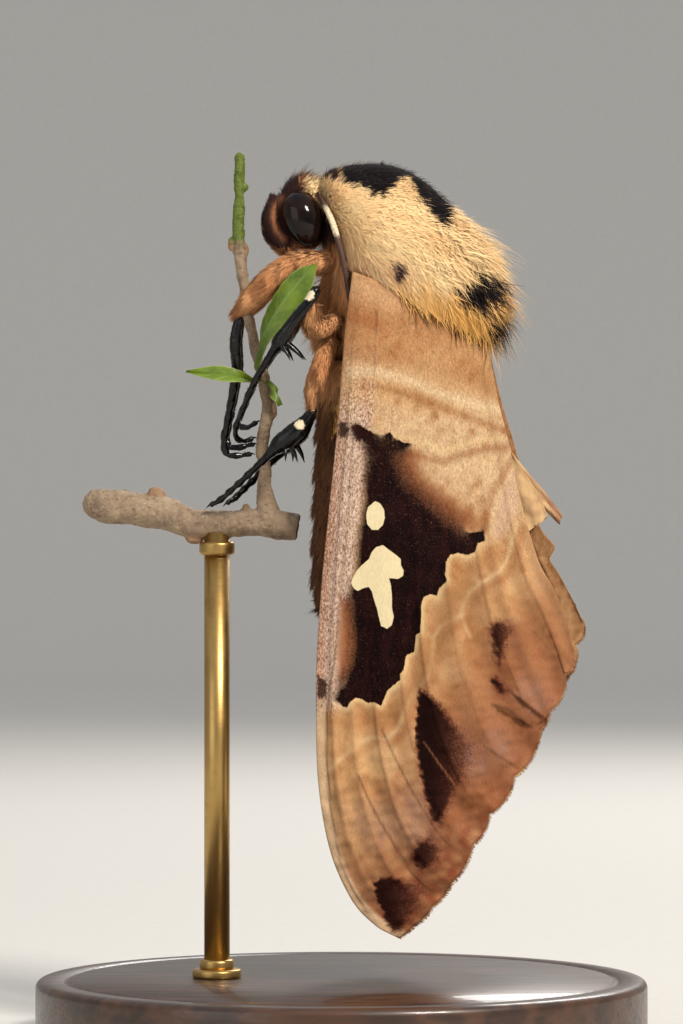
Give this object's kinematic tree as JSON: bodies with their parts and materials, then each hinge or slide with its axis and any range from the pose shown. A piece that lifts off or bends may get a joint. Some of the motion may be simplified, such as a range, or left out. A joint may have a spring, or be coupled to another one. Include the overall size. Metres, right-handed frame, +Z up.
{
  "type": "hawk moth on a cut twig",
  "caption": "Life-size hawk moth at rest with closed wings, hanging head up from a cut leafy twig on a round display stand.",
  "frame": {"origin": "centre of the round base's underside, on the ground", "axes": "+Z up towards the moth's head, +X towards its back, -Y towards its left side and the camera"},
  "size_m": [0.062, 0.062, 0.0895],
  "materials": {
    "thorax_fur": "cream and black fur",
    "body_fur": "warm brown fur",
    "head_fur": "dark brown fur",
    "eye": "glossy black",
    "antenna": "cream, matt",
    "wing_scales": "fine scales, tan with dark brown and cream marks",
    "leg_black": "satin black",
    "bark": "dry bark",
    "green_stem": "green, waxy",
    "leaf": "green, waxy",
    "stand_wood": "dark, satin",
    "stand_metal": "satin"
  },
  "bodies": {
    "root": {"abdomen": "body_fur", "antenna_left": "antenna", "antenna_right": "antenna", "eye_left": "eye", "eye_right": "eye", "femur_fore_left": "body_fur", "femur_fore_right": "body_fur", "femur_hind_left": "body_fur", "femur_hind_right": "body_fur", "femur_mid_left": "body_fur", "femur_mid_right": "body_fur", "forewing_left": "wing_scales", "forewing_right": "wing_scales", "head": "head_fur", "hindwing_left": "wing_scales", "hindwing_right": "wing_scales", "palp_left": "body_fur", "palp_right": "body_fur", "shank_fore_left": "leg_black", "shank_fore_right": "leg_black", "shank_hind_left": "leg_black", "shank_hind_right": "leg_black", "shank_mid_left": "leg_black", "shank_mid_right": "leg_black", "stand_base": "stand_wood", "stand_rod": "stand_metal", "thorax": "thorax_fur", "twig_branch": "bark", "twig_leaf_left": "leaf", "twig_leaf_right": "leaf", "twig_leaf_upper": "leaf", "twig_stem": "green_stem"}
  },
  "joints": []
}
